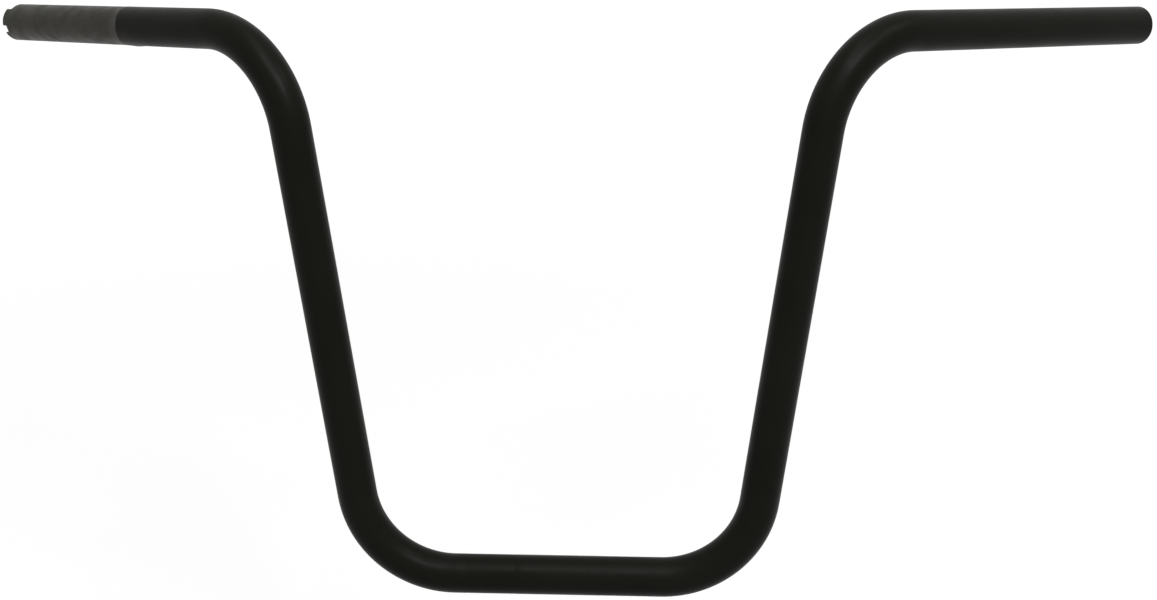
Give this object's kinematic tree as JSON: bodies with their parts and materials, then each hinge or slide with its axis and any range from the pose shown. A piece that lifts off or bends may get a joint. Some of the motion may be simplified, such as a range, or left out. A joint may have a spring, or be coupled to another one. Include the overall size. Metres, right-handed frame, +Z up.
{
  "type": "motorcycle handlebar",
  "caption": "Tall U-shaped motorcycle handlebar bent from one round tube, with swept-back grips and a slotted throttle end.",
  "frame": {"origin": "middle of the base, on the tube's centreline, where the handlebar clamp holds it", "axes": "+X along the base to the rider's left, +Y back towards the rider, +Z up along the risers"},
  "size_m": [0.794, 0.1758, 0.3777],
  "materials": {
    "black_coat": "satin black powder coat, left off the last 129 mm of the throttle end, where the steel is bare"
  },
  "bodies": {
    "root": {"handlebar": "black_coat"}
  },
  "joints": []
}
